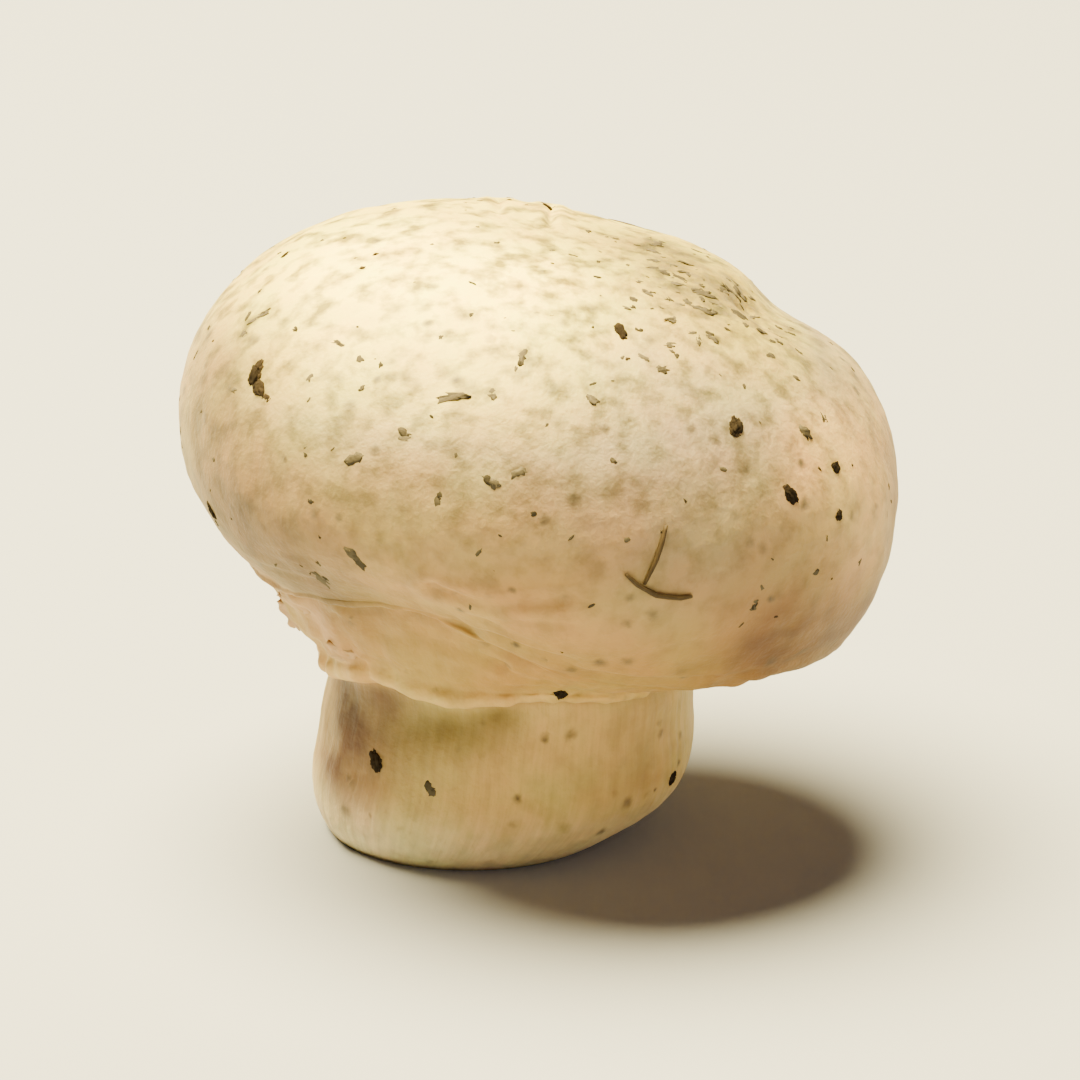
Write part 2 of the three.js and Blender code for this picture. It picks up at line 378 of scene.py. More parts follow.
def buildBody(skinMaterial):
    form = bmesh.new()
    row = [form.verts.new((radius, 0, z)) for radius, z in bodyProfile()]
    edges = [form.edges.new(pair) for pair in zip(row, row[1:])]
    bmesh.ops.spin(form, geom=row + edges, cent=(0, 0, 0), axis=(0, 0, 1), dvec=(0, 0, 0),
                   angle=math.tau, steps=body["segments"], use_merge=True, use_duplicate=False)
    bmesh.ops.remove_doubles(form, verts=form.verts, dist=1e-5)
    bmesh.ops.recalc_face_normals(form, faces=form.faces)
    layers = {name: form.verts.layers.float.new(name) for name in zoneNames}
    grain = form.verts.layers.float_vector.new("grain")
    middle, scurfArc = Vector(relief["capMiddle"]), arc(relief["scurfAt"])
    plain, nearFold = {}, []
    for vert in form.verts:
        place = vert.co.copy()
        vert.co = bend(fray(lift(swell(place))))
        arm = (vert.co - middle).normalized()
        above = math.degrees(math.asin(arm.z))
        share = shares(place)
        # the lower the place, the darker the skin: partly its own browning, partly painted shade
        share["low"] = 1 - smooth(above, -25, 45)
        share["scurf"] = hill(awayFrom(arm, scurfArc), relief["scurfSpread"]) * share["cap"]
        for name, tint in tints.items():
            within = share[tint.get("on", "aboveLip")]
            share[name] = hill(awayFrom(arm, tint["line"]), tint["spread"]) * within
        for name in zoneNames:
            vert[layers[name]] = share[name]
        vert[grain] = ring(place, 9, 0.16)
        plain[vert] = (place, arm, share)
        if share["fold"] > 0.03:
            nearFold.append(vert)
    # here and there the fold has nearly grown shut
    shut = [vert for vert in nearFold if noise.noise(vert.co / relief["shutSize"]) > relief["shutFrom"]]
    for verts, rounds in zip((nearFold, shut), relief["foldSmoothing"]):
        for i in range(rounds):
            bmesh.ops.smooth_vert(form, verts=verts, factor=0.5,
                                  use_axis_x=True, use_axis_y=True, use_axis_z=True)
    form.normal_update()
    for vert, (place, arm, share) in plain.items():
        if share["cut"] >= 1:
            inward = 1 - (share["radius"] / (body["cutWidth"] / 2)) ** 2
            uneven = 0.8 + 0.4 * noise.noise(place / 0.5)
            vert.co.z += relief["cutHollow"] * max(inward, 0) ** 0.5 * uneven
        else:
            height = skinRelief(place, vert.co.copy(), arm, share)
            vert.co += vert.normal * height * smooth(place.z, 0, 0.5)
    return newPiece("mushroomBody", form, skinMaterial)


# A fresh button mushroom's skin is matte and faintly waxy. Light sinks in and softens the shading,
# and the eye sees a cream crown that browns towards the fold, with fine flattened fibres and specks.
# The darkening towards the fold is partly the skin's own browning and partly painted shade.
skin = {
    "crown": "#AEA24A", "upper": "#827868", "lower": "#AA9264", "margin": "#A38348",
    # lipEdge is a painted highlight along the lip's edge, and fold is painted shade along the fold
    "stem": "#D2BA7C", "veil": "#B09052", "lipEdge": "#DDC080", "fold": "#8A7048",
    "blotch": "#7C7A50", "freckle": "#4C412E", "scurf": "#6A5E3A", "cutFace": "#D9C08F",
    "cool": "#F8FBE8", "warm": "#FFF0E6",
    "patchSize": 4.5, "hueSize": 2.0, "mottleSize": 1.1, "blotchSize": 0.6, "unevenness": 0.3,
    "crownBlotch": 0.95, "lowBlotch": 0.2,
    "freckleSpacing": 0.72, "freckleSize": 0.15, "freckleStrength": 0.95,
    "raggedSize": 0.25, "raggedReach": (0.2, 0.2, 0.2),  # how coarse and how deep a speck's outline is
    "fibreSize": 0.3, "poreSize": 0.16, "reliefDepth": 0.06, "lightDepth": 0.35,
}


def buildSkin():
    material, tree = newMaterial("raw button mushroom skin, unwashed")
    coords = addNode(tree, "ShaderNodeTexCoord")
    place = addNode(tree, "ShaderNodeMapping", {"Vector": coords.outputs["Object"],
                                                "Scale": (1 / mm, 1 / mm, 1 / mm)}).outputs["Vector"]
    grain = addNode(tree, "ShaderNodeAttribute", attribute_name="grain").outputs["Vector"]
    zones = {}
    for name in zoneNames:
        zones[name] = addNode(tree, "ShaderNodeAttribute", attribute_name=name).outputs["Fac"]
    clouds = {}
    for name in ("patch", "hue", "mottle", "blotch", "pore"):
        clouds[name] = addNode(tree, "ShaderNodeTexNoise", {
            "Vector": place, "Scale": 1 / skin[name + "Size"], "Detail": 4.0}).outputs["Fac"]
    fibres = addNode(tree, "ShaderNodeTexNoise", {"Vector": grain, "Scale": 1 / skin["fibreSize"],
                                                  "Detail": 3.0}).outputs["Fac"]

    # cream at the crown, through beige, to tan at the margin, with a cloudy edge between them:
    # partly the skin's own browning, partly painted shade on the middle and lower skin
    cloud = addNode(tree, "ShaderNodeMath", {0: clouds["patch"], 1: 0.5}, operation="SUBTRACT").outputs[0]
    down = addNode(tree, "ShaderNodeMath", {0: cloud, 1: skin["unevenness"], 2: zones["low"]},
                   operation="MULTIPLY_ADD").outputs[0]
    ramp = addNode(tree, "ShaderNodeValToRGB", {"Fac": down})
    stops = ramp.color_ramp.elements
    stops[0].position, stops[0].color = 0.05, hexColor(skin["crown"])
    stops[1].position, stops[1].color = 1.0, hexColor(skin["margin"])
    stops.new(0.3).color = hexColor(skin["upper"])
    stops.new(0.62).color = hexColor(skin["lower"])
    color = ramp.outputs["Color"]
    for name, tone in (("veil", "veil"), ("stem", "stem"), ("cut", "cutFace")):
        color = addNode(tree, "ShaderNodeMix", {0: zones[name], 6: color, 7: hexColor(skin[tone])},
                        data_type="RGBA").outputs[2]
    cloudy = addNode(tree, "ShaderNodeMapRange", {
        "Value": clouds["mottle"], "From Min": 0.3, "From Max": 0.7,
        "To Min": 0.75, "To Max": 1.15}).outputs["Result"]
    overlays = [(name, tint["color"], tint["strength"]) for name, tint in tints.items()]
    # painted shade along the fold and painted highlight along the lip's edge
    overlays += [("fold", skin["fold"], 0.35), ("lipEdge", skin["lipEdge"], 0.8)]
    for name, tone, strength in overlays:
        amount = addNode(tree, "ShaderNodeMath", {0: zones[name], 1: strength}, operation="MULTIPLY")
        amount = addNode(tree, "ShaderNodeMath", {0: amount.outputs[0], 1: cloudy}, operation="MULTIPLY",
                         use_clamp=True)
        color = addNode(tree, "ShaderNodeMix", {0: amount.outputs[0], 6: color, 7: hexColor(tone)},
                        data_type="RGBA").outputs[2]

    # the cream turns slowly from greenish to pinkish, with fibre streaks and grey blotches in it
    turning = addNode(tree, "ShaderNodeMapRange", {
        "Value": clouds["hue"], "From Min": 0.35, "From Max": 0.65})
    hue = addNode(tree, "ShaderNodeMix", {0: turning.outputs["Result"], 6: hexColor(skin["cool"]),
                                          7: hexColor(skin["warm"])}, data_type="RGBA").outputs[2]
    color = addNode(tree, "ShaderNodeMix", {0: 1.0, 6: color, 7: hue}, data_type="RGBA",
                    blend_type="MULTIPLY").outputs[2]
    faint = addNode(tree, "ShaderNodeMapRange", {"Value": zones["stem"], "To Min": 0.98, "To Max": 0.89})
    streaky = addNode(tree, "ShaderNodeMapRange", {"Value": fibres, "From Min": 0.3, "From Max": 0.7,
                                                   "To Min": faint.outputs["Result"], "To Max": 1.04})
    color = addNode(tree, "ShaderNodeMix", {0: 1.0, 6: color, 7: streaky.outputs["Result"]},
                    data_type="RGBA", blend_type="MULTIPLY").outputs[2]
    blotchy = addNode(tree, "ShaderNodeMapRange", {"Value": clouds["blotch"], "From Min": 0.44,
                                                   "From Max": 0.68}).outputs["Result"]
    depth = addNode(tree, "ShaderNodeMapRange", {"Value": zones["low"], "To Min": skin["crownBlotch"],
                                                 "To Max": skin["lowBlotch"]}).outputs["Result"]
    amount = addNode(tree, "ShaderNodeMath", {0: blotchy, 1: depth}, operation="MULTIPLY").outputs[0]
    color = addNode(tree, "ShaderNodeMix", {0: amount, 6: color, 7: hexColor(skin["blotch"])},
                    data_type="RGBA", blend_type="MULTIPLY").outputs[2]

    # specks: one in some cells, of ragged outline, more of them where the skin is scurfy
    ragged = addNode(tree, "ShaderNodeTexNoise", {
        "Vector": place, "Scale": 1 / skin["raggedSize"], "Detail": 2.0})
    wander = addNode(tree, "ShaderNodeVectorMath", {
        0: ragged.outputs["Color"], 1: skin["raggedReach"], 2: place}, operation="MULTIPLY_ADD").outputs[0]
    cells = addNode(tree, "ShaderNodeTexVoronoi", {"Vector": wander, "Scale": 1 / skin["freckleSpacing"]})
    chance = addNode(tree, "ShaderNodeSeparateColor", {"Color": cells.outputs["Color"]})
    reach = skin["freckleSize"] / skin["freckleSpacing"]
    size = addNode(tree, "ShaderNodeMapRange", {"Value": chance.outputs[1], "To Min": reach * 0.7,
                                                "To Max": reach * 2.2}).outputs["Result"]
    near = addNode(tree, "ShaderNodeMapRange", {"Value": cells.outputs["Distance"], "From Min": size,
                                                "From Max": 0.0}, interpolation_type="SMOOTHSTEP")
    odds = addNode(tree, "ShaderNodeMath", {0: zones["scurf"], 1: 0.5, 2: chance.outputs[0]},
                   operation="MULTIPLY_ADD").outputs[0]
    odds = addNode(tree, "ShaderNodeMath", {0: cloud, 1: 0.8, 2: odds},
                   operation="MULTIPLY_ADD").outputs[0]
    present = addNode(tree, "ShaderNodeMapRange", {"Value": odds, "From Min": 0.5, "From Max": 0.75})
    freckles = addNode(tree, "ShaderNodeMath", {0: near.outputs["Result"], 1: present.outputs["Result"]},
                       operation="MULTIPLY").outputs[0]
    amount = addNode(tree, "ShaderNodeMath", {0: freckles, 1: skin["freckleStrength"]},
                     operation="MULTIPLY")
    color = addNode(tree, "ShaderNodeMix", {0: amount.outputs[0], 6: color, 7: hexColor(skin["freckle"])},
                    data_type="RGBA").outputs[2]
    rough = addNode(tree, "ShaderNodeMapRange", {"Value": ragged.outputs["Fac"], "From Min": 0.47,
                                                 "From Max": 0.64, "To Max": 0.9}).outputs["Result"]
    amount = addNode(tree, "ShaderNodeMath", {0: rough, 1: zones["scurf"]}, operation="MULTIPLY")
    color = addNode(tree, "ShaderNodeMix", {0: amount.outputs[0], 6: color, 7: hexColor(skin["scurf"])},
                    data_type="RGBA").outputs[2]

    # the stem's fibres stand out, and the cap's are pressed flat
    silky = addNode(tree, "ShaderNodeMath", {0: zones["stem"], 1: 0.8, 2: 0.15},
                    operation="MULTIPLY_ADD").outputs[0]
    height = addNode(tree, "ShaderNodeMath", {0: fibres, 1: silky, 2: clouds["pore"]},
                     operation="MULTIPLY_ADD").outputs[0]
    height = addNode(tree, "ShaderNodeMath", {0: freckles, 1: 0.6, 2: height},
                     operation="MULTIPLY_ADD").outputs[0]
    bump = addNode(tree, "ShaderNodeBump", {
        "Height": height, "Strength": 0.5, "Distance": skin["reliefDepth"] * mm})
    gloss = addNode(tree, "ShaderNodeMapRange", {"Value": clouds["mottle"], "To Min": 0.5, "To Max": 0.72})
    shader = addNode(tree, "ShaderNodeBsdfPrincipled", {
        "Base Color": color, "Normal": bump.outputs["Normal"], "Roughness": gloss.outputs["Result"],
        "IOR": 1.4, "Subsurface Weight": 0.3, "Subsurface Radius": (1.0, 0.62, 0.36),
        "Subsurface Scale": skin["lightDepth"] * mm, "Sheen Weight": 0.06, "Sheen Roughness": 0.6,
    })
    addNode(tree, "ShaderNodeOutputMaterial", {"Surface": shader.outputs["BSDF"]})
    return material


mushroomBody = buildBody(buildSkin())
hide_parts("mushroom")
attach(mushroomBody, "root")
print("mushroom: body and skin,", len(mushroomBody.data.polygons), "faces")

skinForm = bmesh.new()
skinForm.from_mesh(mushroomBody.data)
bmesh.ops.scale(skinForm, vec=(1 / mm, 1 / mm, 1 / mm), verts=skinForm.verts)
skinTree = BVHTree.FromBMesh(skinForm)
skinForm.free()


def seat(at, sink=0.0, turn=0.0, onStem=False):  # a frame on the skin: Y down the slope, Z out
    if onStem:  # here the second number is the height in mm
        start, arm = Vector((body["stemShift"], 0, at[1])), direction(at[0], 0)
    else:
        start, arm = Vector(relief["capMiddle"]), direction(*at)
    place, out, *_ = skinTree.ray_cast(start, arm)
    down = Vector((0, 0, -1)) if out.z < 0.998 else Vector((0, -1, 0))
    down = (down - out * down.dot(out)).normalized()
    upright = Matrix((down.cross(out), down, out)).transposed()
    # a positive turn swings the low end right
    turned = upright @ Matrix.Rotation(math.radians(turn), 3, "Z")
    return Matrix.Translation(place - out * sink) @ turned.to_4x4()


def anywhere(draw, band):  # a direction drawn evenly over the cap, in a band of its height
    return draw.uniform(-180, 180), math.degrees(math.asin(draw.uniform(*band)))


def noisePlace(draw):  # each grain reads a stretch of the noise of its own
    return Vector((draw.uniform(0, 50), draw.uniform(0, 50), 0))


def addLump(form, place, size, ragged, shade, shift, detail=2):  # a rough grain lying on the skin
    tone = form.verts.layers.float["tone"]
    made = bmesh.ops.create_icosphere(form, subdivisions=detail, radius=0.5)["verts"]
    for vert in made:
        rough = noise.noise(vert.co * 3 + shift) + 0.5 * noise.noise(vert.co * 8 + shift)
        vert.co *= 1 + ragged * rough
        vert[tone] = shade
    bmesh.ops.transform(form, matrix=place @ Matrix.Diagonal((*size, 1)), verts=made)


def lumpMaterial(name, lump):  # dull and dry, each grain a little darker or paler
    material, tree = newMaterial(name)
    coords = addNode(tree, "ShaderNodeTexCoord")
    grit = lump["grit"] * mm
    lumps = addNode(tree, "ShaderNodeTexNoise", {
        "Vector": coords.outputs["Object"], "Scale": 1 / grit, "Detail": 4.0}).outputs["Fac"]
    shade = addNode(tree, "ShaderNodeAttribute", attribute_name="tone").outputs["Fac"]
    mix = addNode(tree, "ShaderNodeMath", {0: lumps, 1: 0.7, 2: shade},
                  operation="MULTIPLY_ADD").outputs[0]
    paler = addNode(tree, "ShaderNodeMapRange", {"Value": mix, "From Min": 0.25, "From Max": 1.35})
    color = addNode(tree, "ShaderNodeMix", {
        0: paler.outputs["Result"], 6: hexColor(lump["dark"]), 7: hexColor(lump["light"])},
        data_type="RGBA").outputs[2]
    bump = addNode(tree, "ShaderNodeBump", {"Height": lumps, "Strength": 0.6, "Distance": 0.3 * grit})
    shader = addNode(tree, "ShaderNodeBsdfPrincipled", {
        "Base Color": color, "Normal": bump.outputs["Normal"], "Roughness": 0.95,
        "Specular IOR Level": 0.12})
    addNode(tree, "ShaderNodeOutputMaterial", {"Surface": shader.outputs["BSDF"]})
    return material


def cloudedMaterial(name, piece, finish):  # two tones drift into each other, one a little higher
    material, tree = newMaterial(name)
    coords = addNode(tree, "ShaderNodeTexCoord")
    clouds = addNode(tree, "ShaderNodeTexNoise", {
        "Vector": coords.outputs["Object"], "Scale": 1 / (piece["cloudSize"] * mm),
        "Detail": piece["cloudDetail"]}).outputs["Fac"]
    first, second = piece["tones"]
    color = addNode(tree, "ShaderNodeMix", {0: clouds, 6: hexColor(first), 7: hexColor(second)},
                    data_type="RGBA").outputs[2]
    bump = addNode(tree, "ShaderNodeBump", {
        "Height": clouds, "Strength": 0.4, "Distance": piece["cloudHeight"] * mm})
    shader = addNode(tree, "ShaderNodeBsdfPrincipled", {
        "Base Color": color, "Normal": bump.outputs["Normal"], "Roughness": 0.7, **finish})
    addNode(tree, "ShaderNodeOutputMaterial", {"Surface": shader.outputs["BSDF"]})
    return material


# Crumbs of the peat that the mushroom grew through: dull, dark and dry, they stand out as specks.
crumbs = {
    "cap": [  # direction, length, width and turn in the skin
        {"at": (-150.3, 24.0), "length": 0.50, "width": 0.34, "turn": 20},
        {"at": (-149.8, 22.5), "length": 0.72, "width": 0.46, "turn": 30},
        {"at": (-147.3, 21.0), "length": 0.72, "width": 0.38, "turn": 66},
        {"at": (-144, 20.2), "length": 0.90, "width": 0.24, "turn": 84},
        {"at": (-157, 49), "length": 0.28, "width": 0.24, "turn": 0},
        {"at": (-64, 44), "length": 0.78, "width": 0.34, "turn": -10},
        {"at": (-50, 19), "length": 0.76, "width": 0.44, "turn": -34},
        {"at": (-44, 6), "length": 0.70, "width": 0.42, "turn": 30},
        {"at": (-31, 7), "length": 0.42, "width": 0.36, "turn": 0},
        {"at": (-34, 0), "length": 0.36, "width": 0.30, "turn": -40},
        {"at": (-83, -42), "length": 0.72, "width": 0.42, "turn": 60},
        {"at": (-157, -3), "length": 0.62, "width": 0.30, "turn": 40},
        {"at": (85, 56), "length": 0.38, "width": 0.29, "turn": 0},
        {"at": (40, 8), "length": 0.50, "width": 0.36, "turn": -10},
        {"at": (150, 12), "length": 0.56, "width": 0.38, "turn": -60},
        {"at": (110, 30), "length": 0.44, "width": 0.30, "turn": -30},
        {"at": (75, -8), "length": 0.58, "width": 0.36, "turn": 20},
        {"at": (175, 38), "length": 0.40, "width": 0.26, "turn": 50},
    ],
    "stem": [  # degrees round and height
        {"at": (-134, 2.97), "length": 0.74, "width": 0.44, "turn": 34},
        {"at": (-28, 2.0), "length": 0.46, "width": 0.34, "turn": -30},
        {"at": (130, 3.2), "length": 0.50, "width": 0.38, "turn": -10},
        {"at": (60, 1.6), "length": 0.40, "width": 0.30, "turn": 25},
    ],
    # a crumb longer than clumpFrom is a clump of grains, each this share of its width, and one wider
    # than coreFrom has a darker core as well
    "clumpFrom": 0.25, "grains": 18, "grainShare": (0.25, 0.65),
    "coreFrom": 0.27, "core": 0.8, "coreShade": (0, 0.35), "coreDetail": 4,
    "strays": 46, "straySize": (0.07, 0.17), "strayBand": (-0.3, 0.98),
    "height": 0.7, "sink": 0.03, "ragged": 0.5,
    "dark": "#120D08", "light": "#382E22", "grit": 0.1,
}


def buildCrumbs():
    draw = random.Random(7)
    form = bmesh.new()
    form.verts.layers.float.new("tone")
    spots = [(spot, False) for spot in crumbs["cap"]] + [(spot, True) for spot in crumbs["stem"]]
    for i in range(crumbs["strays"]):
        size = draw.uniform(*crumbs["straySize"])
        at = anywhere(draw, crumbs["strayBand"])
        stray = {"at": at, "length": size * 1.3, "width": size, "turn": draw.uniform(-90, 90)}
        spots.append((stray, False))
    for spot, onStem in spots:
        place = seat(spot["at"], crumbs["sink"], spot["turn"], onStem)
        clump = spot["length"] > crumbs["clumpFrom"]
        if spot["width"] > crumbs["coreFrom"]:
            size = Vector((spot["width"], spot["length"], spot["width"] * crumbs["height"]))
            size *= crumbs["core"]
            shift = noisePlace(draw)
            shade = draw.uniform(*crumbs["coreShade"])
            addLump(form, place, size, crumbs["ragged"], shade, shift, crumbs["coreDetail"])
        for i in range(crumbs["grains"] if clump else 1):
            width = spot["width"] * (draw.uniform(*crumbs["grainShare"]) if clump else 1)
            length = width * draw.uniform(1, 1.5)
            turn, out = draw.uniform(0, math.tau), math.sqrt(draw.random()) / 2
            across = math.cos(turn) * out * (spot["width"] - width)
            along = math.sin(turn) * out * (spot["length"] - length) if clump else 0
            here = place @ Matrix.Translation((across, along, 0)) @ Matrix.Rotation(turn, 4, "Z")
            shift = noisePlace(draw)
            size = width, length, width * crumbs["height"]
            addLump(form, here, size, crumbs["ragged"], draw.random(), shift)
    bmesh.ops.recalc_face_normals(form, faces=form.faces)
    return newPiece("soilCrumbs", form, lumpMaterial("peat crumb, dried", crumbs))


soilCrumbs = buildCrumbs()
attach(soilCrumbs, "root")
print("mushroom: crumbs,", len(soilCrumbs.data.polygons), "faces")

# Scales of the outer skin, dried flat where it was rubbed: the eye sees greyish olive flecks.
flecks = {
    "spots": [  # direction, length, width and turn in the skin
        {"at": (-163, 30), "length": 0.72, "width": 0.26, "turn": -35},
        {"at": (-162, 27), "length": 0.36, "width": 0.29, "turn": 0},
        {"at": (-93, 37), "length": 0.70, "width": 0.31, "turn": 18},
        {"at": (-98.5, 29), "length": 0.36, "width": 0.31, "turn": 0},
        {"at": (-131, -9), "length": 0.85, "width": 0.34, "turn": 36},
        {"at": (-120, -1), "length": 0.60, "width": 0.34, "turn": 26},
        {"at": (-107.5, 27.3), "length": 0.95, "width": 0.28, "turn": 108},
        {"at": (-121, 15), "length": 0.50, "width": 0.31, "turn": -60},
        {"at": (-114, 20), "length": 0.43, "width": 0.29, "turn": 70},
        {"at": (-98, 14.4), "length": 0.50, "width": 0.31, "turn": 50},
        {"at": (-92, 15.5), "length": 0.43, "width": 0.31, "turn": -70},
        {"at": (-106, 11), "length": 0.41, "width": 0.29, "turn": 20},
        {"at": (-53, -10), "length": 0.38, "width": 0.31, "turn": 0},
        {"at": (-14, 25), "length": 0.43, "width": 0.34, "turn": 0},
        {"at": (-27, 28), "length": 0.38, "width": 0.26, "turn": 30},
        {"at": (-5, 51), "length": 0.48, "width": 0.26, "turn": 60},
        {"at": (-18, 46), "length": 0.84, "width": 0.24, "turn": 42},
        {"at": (1, 38), "length": 0.43, "width": 0.31, "turn": 0},
        {"at": (-42, 37), "length": 0.50, "width": 0.24, "turn": -75},
        {"at": (-53, 38), "length": 0.55, "width": 0.19, "turn": 80},
        {"at": (-121, -56), "length": 0.43, "width": 0.38, "turn": 0},
        {"at": (-149.5, 32), "length": 0.36, "width": 0.16, "turn": 70},
        {"at": (-136, 33), "length": 0.42, "width": 0.15, "turn": 80},
        {"at": (-137, 25.7), "length": 0.28, "width": 0.20, "turn": 0},
        {"at": (-129, 31.4), "length": 0.30, "width": 0.20, "turn": 20},
        {"at": (-27, 14), "length": 0.40, "width": 0.28, "turn": 0},
        {"at": (-78.5, 28), "length": 0.36, "width": 0.28, "turn": 15},
        {"at": (-59, 32.4), "length": 0.38, "width": 0.24, "turn": 60},
        {"at": (-28, 43), "length": 0.62, "width": 0.30, "turn": 46},
        {"at": (-43, 44), "length": 0.48, "width": 0.26, "turn": 62},
        {"at": (-3, 59.5), "length": 0.50, "width": 0.26, "turn": 50},
    ],
    "scurf": 70, "scurfLength": (0.15, 0.5), "scurfTurn": (-20, 80),
    "scurfShape": (1.1, 0.5), "scurfSlimmer": 0.9,
    "scattered": 150, "scatteredLength": (0.1, 0.28), "scatteredBand": (-0.25, 0.99),
    "breakFrom": 0.3, "pieces": 3, "pieceShare": (0.6, 0.95),
    "slim": (0.35, 0.85), "height": 0.045, "sink": 0.01, "ragged": 0.8,
    "dark": "#2C2820", "light": "#585142", "grit": 0.08,
}


def buildFlecks():
    draw = random.Random(23)
    form = bmesh.new()
    form.verts.layers.float.new("tone")
    spots = list(flecks["spots"])
    for i in range(flecks["scurf"]):
        (around, above), spread = relief["scurfAt"], relief["scurfSpread"]
        wide, high = flecks["scurfShape"]
        at = around + draw.gauss(0, spread * wide), above + draw.gauss(0, spread * high)
        length = draw.uniform(*flecks["scurfLength"])
        width = length * draw.uniform(*flecks["slim"]) * flecks["scurfSlimmer"]
        turn = draw.uniform(*flecks["scurfTurn"])
        spots.append({"at": at, "length": length, "width": width, "turn": turn})
    for i in range(flecks["scattered"]):
        at = anywhere(draw, flecks["scatteredBand"])
        length = draw.uniform(*flecks["scatteredLength"])
        width = length * draw.uniform(*flecks["slim"])
        spots.append({"at": at, "length": length, "width": width, "turn": draw.uniform(-90, 90)})
    for spot in spots:
        place = seat(spot["at"], flecks["sink"], spot["turn"])
        broken = spot["length"] > flecks["breakFrom"]  # the larger ones lie in pieces
        for i in range(flecks["pieces"] if broken else 1):
            along = draw.uniform(-0.3, 0.3) * spot["length"] if broken else 0
            size = Vector((spot["width"], spot["length"], flecks["height"]))
            size *= draw.uniform(*flecks["pieceShare"]) if broken else 1
            across = draw.uniform(-0.25, 0.25) * spot["width"]
            here = place @ Matrix.Translation((across, along, 0))
            here = here @ Matrix.Rotation(draw.uniform(-0.5, 0.5), 4, "Z")
            shift = noisePlace(draw)
            addLump(form, here, size, flecks["ragged"], draw.random(), shift)
    bmesh.ops.recalc_face_normals(form, faces=form.faces)
    material = lumpMaterial("button mushroom skin scales, dried", flecks)
    return newPiece("skinFlecks", form, material)


skinFlecks = buildFlecks()
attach(skinFlecks, "root")
print("mushroom: flecks,", len(skinFlecks.data.polygons), "faces")

# Straw fibres from the compost, lying on the skin: thin, brown and faintly glossy.
straws = {
    "paths": [  # directions along each fibre, and its thickness in mm
        {"path": [(-69, 6), (-71, 1), (-73, -3)], "thick": 0.15},
        {"path": [(-76, -1), (-74, -3), (-71, -5), (-67, -6), (-65, -6)], "thick": 0.18},
        {"path": [(62, 30), (66, 34), (72, 35)], "thick": 0.1},
    ],
    "sides": 8, "steps": 6, "flatness": 0.8, "lift": 0.3,
    "tones": ("#2E2416", "#4C3D26"), "cloudSize": 0.15, "cloudDetail": 3.0, "cloudHeight": 0.02,
}


def buildStraws():
    form = bmesh.new()
    for straw in straws["paths"]:
        knots = [seat(at).translation for at in straw["path"]]
        points = []
        for start, end in zip(knots, knots[1:]):
            points += [start.lerp(end, i / straws["steps"]) for i in range(straws["steps"])]
        points.append(knots[-1])
        last = len(points) - 1
        loop = bmesh.ops.create_circle(form, cap_ends=True, segments=straws["sides"],
                                       radius=0.5)["verts"]
        faces = list({face for vert in loop for face in vert.link_faces})
        before = Matrix()
        for i, point in enumerate(points):
            place, out, *_ = skinTree.find_nearest(point)
            ahead = (points[min(i + 1, last)] - points[max(i - 1, 0)]).normalized()
            taper = math.sin(math.pi * (i + 0.6) / (last + 1.2)) ** 0.5  # both ends are thinner
            thick = straw["thick"] * (0.45 + 0.55 * taper)
            thick *= 1 + 0.25 * noise.noise(place * 2)
            facing = ahead.to_track_quat("Z", "Y").to_matrix().to_4x4()
            here = Matrix.Translation(place + out * straw["thick"] * straws["lift"])
            here = here @ facing @ Matrix.Diagonal((thick, thick * straws["flatness"], 1, 1))
            if i > 0:
                made = bmesh.ops.extrude_face_region(form, geom=faces)["geom"]
                if i > 1:  # the first face stays as the closed end
                    bmesh.ops.delete(form, geom=faces, context="FACES_ONLY")
                faces = [item for item in made if isinstance(item, bmesh.types.BMFace)]
                loop = [item for item in made if isinstance(item, bmesh.types.BMVert)]
            bmesh.ops.transform(form, matrix=here @ before.inverted(), verts=loop)
            before = here
    bmesh.ops.recalc_face_normals(form, faces=form.faces)
    material = cloudedMaterial("wheat straw fibre, dried", straws, {"Specular IOR Level": 0.25})
    return newPiece("strawFibres", form, material)


strawFibres = buildStraws()
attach(strawFibres, "root")
print("mushroom: straw fibres,", len(strawFibres.data.polygons), "faces")

# Torn veil: thin scraps of tissue that dry paler and pinker, and lift a little along the fold and lip.
shreds = {
    "scraps": [  # direction of the root, length, width and turn, and how far the tip stands off
        {"at": (-152, -23), "length": 0.7, "width": 1.1, "turn": 25, "curl": 0.02},
        {"at": (-141, -33), "length": 0.7, "width": 0.8, "turn": -20, "curl": 0.05},
        {"at": (-158, -28), "length": 0.8, "width": 1.2, "turn": 10, "curl": 0.03},
        {"at": (-168, -31), "length": 0.8, "width": 1.0, "turn": -10, "curl": 0.12},
        {"at": (160, -33), "length": 0.9, "width": 1.2, "turn": 15, "curl": 0.12},
        {"at": (95, -36), "length": 0.8, "width": 1.1, "turn": -15, "curl": 0.12},
        {"at": (30, -44), "length": 0.8, "width": 0.9, "turn": 10, "curl": 0.1},
    ],
    "cuts": (14, 12), "thickness": 0.12, "lumpHeight": 0.06, "neckRadius": 6.5, "rooted": 0.3,
    "sink": 0.02,
    "tones": ("#C2A07A", "#9C7C56"), "cloudSize": 0.5, "cloudDetail": 4.0, "cloudHeight": 0.05,
}


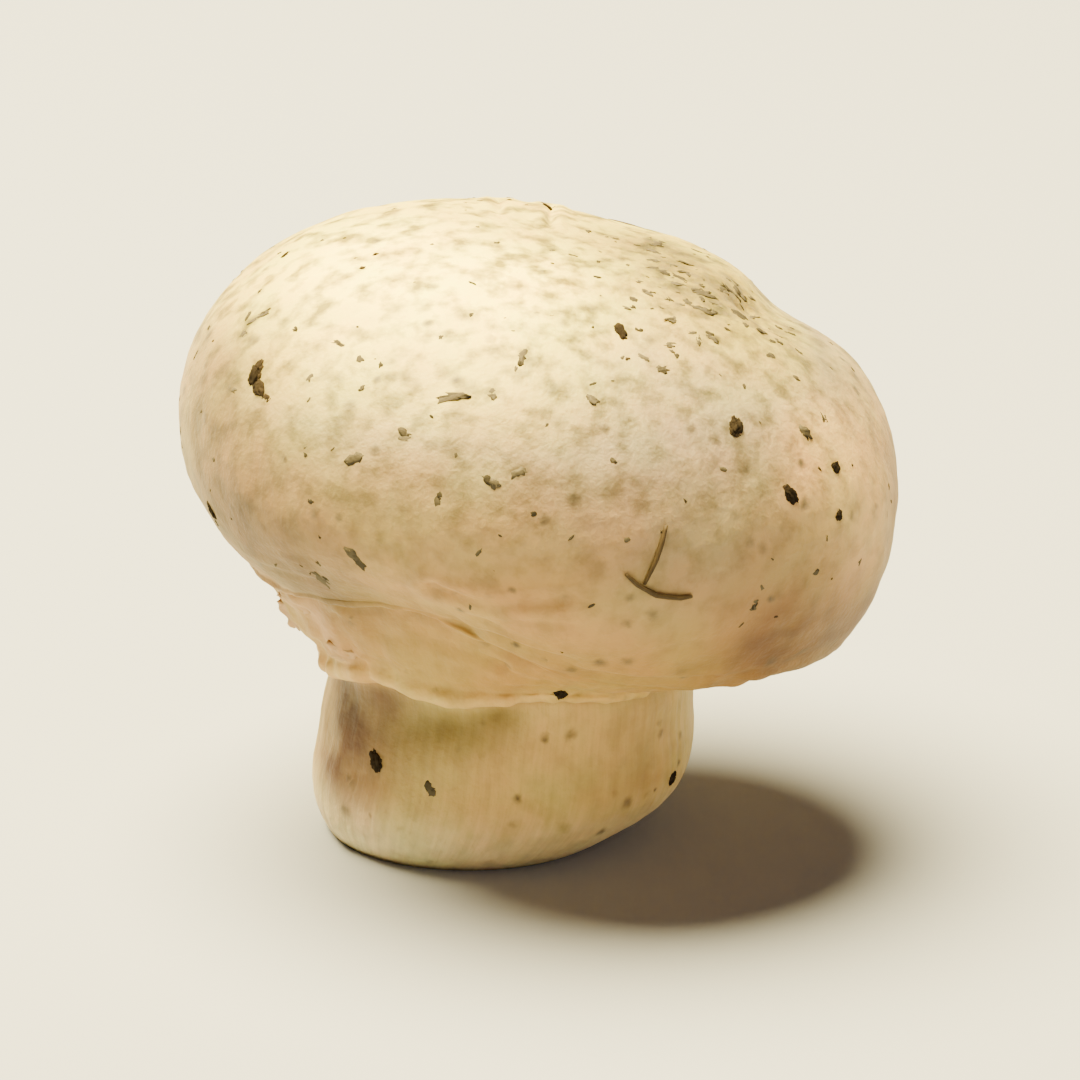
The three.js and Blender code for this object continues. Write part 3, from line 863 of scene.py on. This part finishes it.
def buildShreds():
    draw = random.Random(11)
    form = bmesh.new()
    cutsAcross, cutsAlong = shreds["cuts"]
    for scrap in shreds["scraps"]:
        made = bmesh.ops.create_grid(form, x_segments=cutsAcross, y_segments=cutsAlong,
                                     size=0.5)["verts"]
        shift = noisePlace(draw)
        for vert in made:
            side, along = vert.co.x, vert.co.y + 0.5
            ragged = 1 + 0.35 * noise.noise(Vector((side * 4, 0, 0)) + shift)
            spread = 1 - 0.35 * along ** 2 + 0.3 * noise.noise(Vector((along * 3, 0, 5)) + shift)
            lump = shreds["lumpHeight"] * noise.noise(Vector((side * 4, along * 4, 9)) + shift)
            sag = 0.5 * (side * scrap["width"]) ** 2 / shreds["neckRadius"]  # lies round the neck
            out = scrap["curl"] * along ** 2 + lump - sag - shreds["sink"]
            down = (along * ragged - shreds["rooted"]) * scrap["length"]
            vert.co = Vector((side * scrap["width"] * spread, down, out))
        faces = list({face for vert in made for face in vert.link_faces})
        solid = bmesh.ops.solidify(form, geom=faces, thickness=shreds["thickness"])["geom"]
        verts = {item for item in solid if isinstance(item, bmesh.types.BMVert)} | set(made)
        place = seat(scrap["at"], shreds["sink"], scrap["turn"])
        bmesh.ops.transform(form, matrix=place, verts=list(verts))
    bmesh.ops.recalc_face_normals(form, faces=form.faces)
    material = cloudedMaterial("raw mushroom veil, torn and drying", shreds, {
        "IOR": 1.4, "Subsurface Weight": 0.3, "Subsurface Radius": (1.0, 0.62, 0.36),
        "Subsurface Scale": 0.4 * mm})
    return newPiece("veilShreds", form, material)


veilShreds = buildShreds()
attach(veilShreds, "root")
print("mushroom: veil shreds,", len(veilShreds.data.polygons), "faces")

stage = {
    "floorSize": 6000, "floorColor": "#979DB2",
    "elevation": 20, "distance": 362, "aim": (1.85, 0, 7.75), "view": 28.0,
    "skyColor": "#FFDDB0", "skyStrength": 0.15,
    "lamps": [
        {"name": "keyLamp", "from": (-50, 40, 206), "size": 190, "power": 7.0, "color": "#FFE8A0"},
        {"name": "fillLamp", "from": (150, -140, 90), "size": 160, "power": 0.12, "color": "#FFE2BE"},
    ],
}


def buildStage():
    form = bmesh.new()
    bmesh.ops.create_grid(form, x_segments=1, y_segments=1, size=stage["floorSize"] / 2)
    # matte paint has no gloss, so the floor shows only the soft shadow
    paint, tree = newMaterial("matte studio paint, rolled")
    shader = addNode(tree, "ShaderNodeBsdfPrincipled", {"Base Color": hexColor(stage["floorColor"]),
                                                        "Roughness": 0.85, "Specular IOR Level": 0.2})
    addNode(tree, "ShaderNodeOutputMaterial", {"Surface": shader.outputs["BSDF"]})
    newPiece("floor", form, paint)

    world = bpy.data.worlds.new("studio")
    bpy.context.scene.world = world
    world.use_nodes = True
    sky = world.node_tree.nodes["Background"]
    sky.inputs["Color"].default_value = hexColor(stage["skyColor"])
    sky.inputs["Strength"].default_value = stage["skyStrength"]

    aim = Vector(stage["aim"]) * mm
    for lamp in stage["lamps"]:
        data = bpy.data.lights.new(lamp["name"], "AREA")
        data.shape = "DISK"
        data.size = lamp["size"] * mm
        data.energy = lamp["power"]
        data.color = hexColor(lamp["color"])[:3]
        light = bpy.data.objects.new(lamp["name"], data)
        light.location = Vector(lamp["from"]) * mm
        light.rotation_euler = (aim - light.location).to_track_quat("-Z", "Y").to_euler()
        bpy.context.scene.collection.objects.link(light)

    lens = bpy.data.cameras.new("camera")
    lens.sensor_width = 36
    lens.lens = lens.sensor_width * stage["distance"] / stage["view"]
    lens.clip_start = 0.01
    lens.clip_end = 20
    camera = bpy.data.objects.new("camera", lens)
    up = math.radians(stage["elevation"])
    back = Vector((0, -math.cos(up), math.sin(up)))
    camera.location = aim + back * stage["distance"] * mm
    camera.rotation_euler = (-back).to_track_quat("-Z", "Y").to_euler()
    bpy.context.scene.collection.objects.link(camera)
    bpy.context.scene.camera = camera


buildStage()
print("mushroom: stage")
